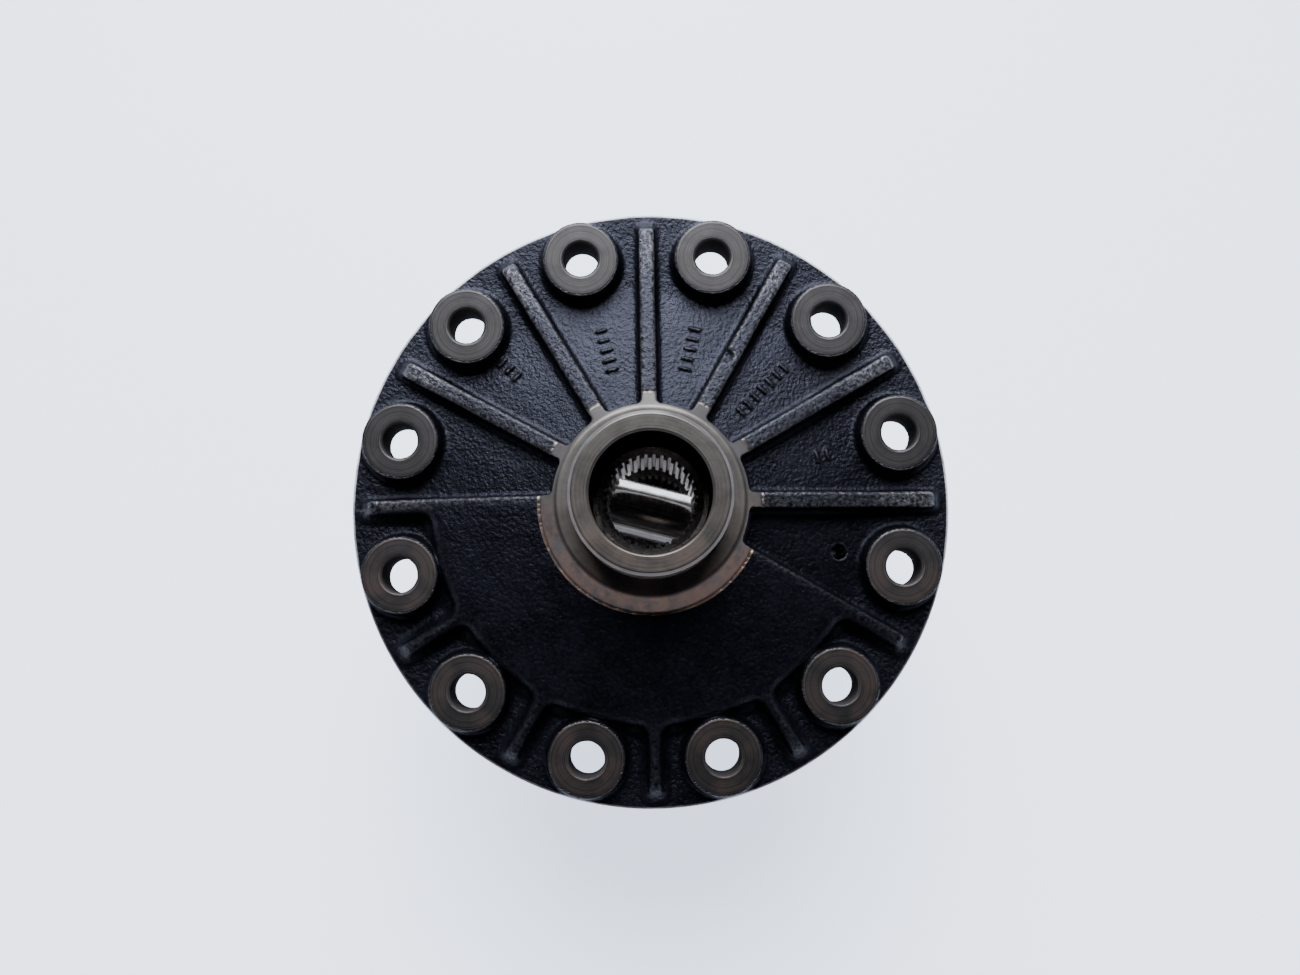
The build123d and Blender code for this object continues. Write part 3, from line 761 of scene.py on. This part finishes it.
def case_material():
    """Black-coated casting, with bare turned metal where the vertices say so and worn coat on its edges."""
    g = Graph("case_black_casting")
    turned = g.span(g.attribute("turned"), -0.06, 0.06)
    bare_colour, marks, stained, in_hole = case_turned_colour(g, g.attribute("turn_r"))
    grain = g.noise(1.6, 3.0, 0.58)
    mottle = g.noise(16.0, 5.0, 0.6)
    # Painted light: 1 towards the light, falling to 0.12 on the side away from it, so the lightened edges
    # and rim line fade there.
    toward_light = g.span(low_side(g), -20.0, 50.0, 1.0, 0.12)
    rubbed_and_highlit = coat_wear_and_highlight(g, toward_light)
    corner = rim_highlight(g, toward_light)
    coat = g.mix(g.span(g.plus(g.times(mottle, 0.5), grain), 0.5, 1.0), BLACK_COAT, BLACK_COAT_LIGHT)
    # Edges and rib tops lightened towards bare iron: partly worn coat, partly painted highlight.
    coat = g.mix(g.times(rubbed_and_highlit, 0.8), coat, BARE_CAST_AND_HIGHLIGHT)
    # The rim corner gets a near-white painted highlight.
    colour = g.mix(corner, g.mix(turned, coat, bare_colour), RIM_HIGHLIGHT)
    turned_metal = g.times(turned, g.span(in_hole, 0.0, 1.0, 0.92, 0.0))
    metal = g.math("MAXIMUM", turned_metal, g.times(rubbed_and_highlit, 0.6))
    metal = g.times(metal, g.span(corner, 0.0, 1.0, 1.0, 0.15))
    in_hole_wall = g.times(in_hole, turned)
    # Painted shade: the coat's specular level falls towards the bottom of the view, away from the light,
    # and is nil on the bolt-hole walls.
    shine = g.times(g.span(low_side(g), -80.0, 60.0, 0.28, 0.13), g.span(in_hole_wall, 0.0, 1.0, 1.0, 0.0))
    rough_coat = g.span(mottle, 0.3, 0.75, 0.28, 0.38)
    rough_turned = g.plus(g.span(marks, 0.3, 0.7, 0.34, 0.42), g.times(stained, 0.08))
    normal = g.bump(g.times(grain, g.math("SUBTRACT", 1.0, turned)), 0.52)
    normal = g.bump(g.times(g.noise(1.6, 4.0, 0.7), stained, turned), 0.05, normal)
    normal = g.bump(g.times(marks, turned), 0.008, normal)
    return g.finish(Base_Color=colour, Metallic=metal, Roughness=g.blend(turned, rough_coat, rough_turned),
                    Normal=normal, IOR=1.5, Specular_IOR_Level=shine, Specular_Tint=COAT_SHEEN)


def trunnion_material():
    """Turned iron outside, and its bore coloured near black as painted shade."""
    g = Graph("turned_iron")
    radius = g.radius()
    colour, marks, stained = turned_colour(g, g.plus(radius, g.axis("Z")))
    in_bore = g.span(radius, 24.0, 24.5, 1.0, 0.0)
    rough = g.plus(g.span(marks, 0.3, 0.7, 0.3, 0.38), g.times(stained, 0.1))
    # Painted shade: the bore is near black, not metallic and without sheen.
    return g.finish(Base_Color=g.mix(in_bore, colour, BORE_SHADE), Metallic=g.blend(in_bore, 0.92, 0.0),
                    Roughness=rough, Specular_IOR_Level=g.blend(in_bore, 0.5, 0.0),
                    Normal=g.bump(marks, 0.006))


def steel_material(name, light, dark, rough):
    """Plain steel with a fine grain and slow staining."""
    g = Graph(name)
    grain = g.noise(0.8, 3.0, 0.6)
    stain = g.noise(7.0, 5.0, 0.62)
    share = g.span(g.plus(g.times(grain, 0.4), g.times(stain, 0.6)), 0.32, 0.68)
    return g.finish(Base_Color=g.mix(share, dark, light), Metallic=0.96,
                    Roughness=g.span(stain, 0.3, 0.7, rough, rough + 0.12), Normal=g.bump(grain, 0.012))


def side_gear_material():
    """Dark heat-treated steel, with the tips of the spline's teeth bright: partly bare cut metal, partly
    painted highlight.
    """
    g = Graph("gear_steel_splined")
    # Partly painted highlight: the spline's tooth tips are coloured bright.
    tips = g.times(g.span(g.radius(), 18.1, 18.3, 1.0, 0.0),
                   g.span(g.noise(1.2, 3.0), 0.35, 0.65, 0.2, 0.8))
    stain = g.span(g.noise(4.0, 5.0, 0.6), 0.3, 0.7)
    dark = g.mix(stain, (0.075, 0.066, 0.06), (0.17, 0.15, 0.135))
    bright = g.mix(stain, (0.50, 0.39, 0.35), (0.70, 0.59, 0.53))
    return g.finish(Base_Color=g.mix(tips, dark, bright), Metallic=0.95,
                    Roughness=g.span(g.noise(1.5), 0.3, 0.7, 0.26, 0.4),
                    Normal=g.bump(g.noise(0.9, 3.0), 0.012))


def shaft_material():
    """Ground steel, darkened brown along its flank towards the bottom of the view: partly oil varnish,
    partly painted shade.
    """
    g = Graph("shaft_ground")
    across = g.axis("Y")
    streaks = g.rings(g.plus(across, g.times(g.noise(30.0), 0.4)), 1.6)
    # Partly painted shade: the flank towards the bottom of the view is coloured dark and made less
    # metallic.
    lower_flank = g.span(across, -3.0, 4.0, 1.0, 0.0)
    varnish_and_shade = g.times(lower_flank, g.span(streaks, 0.3, 0.62, 1.0, 0.8))
    steel = g.mix(g.span(g.noise(7.0, 5.0, 0.6), 0.35, 0.65), (0.5, 0.46, 0.42), (0.74, 0.7, 0.65))
    return g.finish(Base_Color=g.mix(varnish_and_shade, steel, (0.03, 0.02, 0.015)),
                    Metallic=g.blend(varnish_and_shade, 0.96, 0.45),
                    Roughness=g.span(streaks, 0.3, 0.7, 0.13, 0.2), Specular_IOR_Level=0.3,
                    Normal=g.bump(g.rings(g.axis("X"), 0.6), 0.006))


def bronze_material():
    """Bearing bronze, browned in patches."""
    g = Graph("bush_bronze")
    stain = g.noise(3.0, 5.0, 0.6)
    colour = g.mix(g.span(stain, 0.3, 0.7), (0.36, 0.21, 0.09), (0.62, 0.42, 0.2))
    return g.finish(Base_Color=colour, Metallic=0.95, Roughness=g.span(stain, 0.3, 0.7, 0.28, 0.42),
                    Normal=g.bump(g.noise(0.7, 3.0), 0.01))


def floor_material():
    """A pale table that glows softly, a painted light, except under the middle of the part, where the
    missing glow is a painted shadow.
    """
    g = Graph("studio_floor")
    grain = g.noise(30.0, 3.0, 0.5)
    colour = g.mix(grain, (0.88, 0.91, 0.965), (0.90, 0.93, 0.985))
    # Painted light and shadow: the floor glows, but not under the part's middle.
    return g.finish(Base_Color=colour, Roughness=0.85, Emission_Color=(0.70, 0.80, 1.0, 1.0),
                    Emission_Strength=g.span(g.radius(), 50.0, 105.0, 0.0, 2.0))


def paint(piece, material):
    piece.data.materials.clear()
    piece.data.materials.append(material)


# ---- the case ----
flange_reach, barrel_reach = FLANGE_R + MARGIN, PILOT_R + MARGIN
flange = cast_piece("case_flange", flange_field, flange_turned,
                    low=(-flange_reach, -flange_reach, FLANGE_GRID_LOW_Z),
                    high=(flange_reach, flange_reach, SHOULDER_Z + MARGIN_ABOVE), step=FLANGE_STEP)
barrel = cast_piece("case_barrel", barrel_field, barrel_turned,
                    low=(-barrel_reach, -barrel_reach, FAR_SHOULDER_Z - MARGIN),
                    high=(barrel_reach, barrel_reach, BARREL_LAP_Z + MARGIN_ABOVE), step=BARREL_STEP)
near_side = trunnion_outline()
far_side = [(r, 2 * CENTRE_Z - z) for r, z in reversed(near_side)]
trunnions = [lathe_piece("case_trunnion_flange_side", near_side),
             lathe_piece("case_trunnion_far_side", far_side)]
for pieces, material in (((flange, barrel), case_material()), (trunnions, trunnion_material())):
    for piece in pieces:
        paint(piece, material)

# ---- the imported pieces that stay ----
gear_steel = side_gear_material()
pinion_steel = steel_material("gear_steel_pinion", (0.24, 0.22, 0.2), (0.11, 0.1, 0.09), 0.3)
finishes = {
    "pinion_shaft": shaft_material(),
    "shaft_lock_pin": steel_material("pin_spring_steel", (0.07, 0.07, 0.075), (0.03, 0.03, 0.034), 0.4),
    "side_gear_flange_side": gear_steel,
    "side_gear_far_side": gear_steel,
    "pinion_gear_lock_pin_side": pinion_steel,
    "pinion_gear_plain_side": pinion_steel,
}
washer_steel = steel_material("washer_phosphated", (0.3, 0.29, 0.28), (0.16, 0.155, 0.15), 0.36)
bronze = bronze_material()
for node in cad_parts:
    if "washer" in node:
        finishes[node] = washer_steel
    if "bush" in node:
        finishes[node] = bronze
for node, material in finishes.items():
    paint(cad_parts[node], material)

# ---- floor, light and camera ----
# The part is seen with the cross shaft 14 degrees below level, its lock pin end to the right.
VIEW_TURN = radians(104.02)     # from +X to the top of the picture
VIEW_UP = Vector((cos(VIEW_TURN), sin(VIEW_TURN), 0))
VIEW_RIGHT = Vector((sin(VIEW_TURN), -cos(VIEW_TURN), 0))
TILT = 0.1037                   # of the camera towards the top of the picture, in radians
FLOOR_SIZE = 8.0
ROOM_SHADES = (                 # the room's light, by how far up it comes from
    (0.05, (1.1, 1.14, 1.3, 1.0)),
    (0.38, (0.24, 0.26, 0.32, 1.0)),
    (0.78, (0.004, 0.0045, 0.006, 1.0)),
)


def in_view(right, up, height):
    """A point given in millimetres across, up and towards the viewer from the flange's rim."""
    return (VIEW_RIGHT * right + VIEW_UP * up + Vector((0, 0, height + RIM_T))) * MM


def aimed(data, name, place, target, up):
    """A light or camera at a place, looking at a target."""
    piece = bpy.data.objects.new(name, data)
    back = (place - target).normalized()
    right = up.cross(back).normalized()
    piece.matrix_world = Matrix((right, back.cross(right), back)).transposed().to_4x4()
    piece.location = place
    bpy.context.scene.collection.objects.link(piece)
    return piece


def area_light(name, place, target, size, power, colour):
    data = bpy.data.lights.new(name, "AREA")
    data.shape = "RECTANGLE"
    data.size, data.size_y = size
    data.energy = power
    data.color = colour
    return aimed(data, name, place, target, VIEW_RIGHT)


lowest = cad_box[0][2]
bpy.ops.mesh.primitive_grid_add(x_subdivisions=24, y_subdivisions=24, size=FLOOR_SIZE,
                                location=(0, 0, lowest))
floor = bpy.context.active_object
floor.name = "floor"
paint(floor, floor_material())

sun = bpy.data.lights.new("high_window", "SUN")
sun.energy = 5.6
sun.angle = radians(44)
sun.color = (0.91, 0.945, 1.0)
aimed(sun, "high_window", in_view(-40, 700, 760), in_view(0, 0, 0), VIEW_RIGHT)
area_light("key_top", in_view(-60, 560, 230), in_view(0, 0, 0), (0.9, 0.35), 3.5, (0.86, 0.92, 1.0))

# A soft room: bright walls and a dim ceiling, so that level faces stay dark and slopes catch the light.
world = bpy.data.worlds.new("soft_room")
world.use_nodes = True
room_nodes, room_links = world.node_tree.nodes, world.node_tree.links
direction = room_nodes.new("ShaderNodeTexCoord").outputs["Generated"]
split = room_nodes.new("ShaderNodeSeparateXYZ")
shade = room_nodes.new("ShaderNodeValToRGB")
room_links.new(direction, split.inputs[0])
room_links.new(split.outputs["Z"], shade.inputs[0])
room_links.new(shade.outputs[0], room_nodes["Background"].inputs["Color"])
shade.color_ramp.elements.new(0.4)
for stop, (at, colour) in zip(shade.color_ramp.elements, ROOM_SHADES):
    stop.position, stop.color = at, colour
room_nodes["Background"].inputs["Strength"].default_value = 1.0
bpy.context.scene.world = world

camera_data = bpy.data.cameras.new("camera")
camera_data.lens = 36.0
camera_data.sensor_width = 36.0
camera_data.clip_start = 0.01
camera_place = in_view(-0.3, -50.2, 555.8)
camera_ahead = VIEW_UP * sin(TILT) - Vector((0, 0, cos(TILT)))
bpy.context.scene.camera = aimed(camera_data, "camera", camera_place, camera_place + camera_ahead, VIEW_UP)
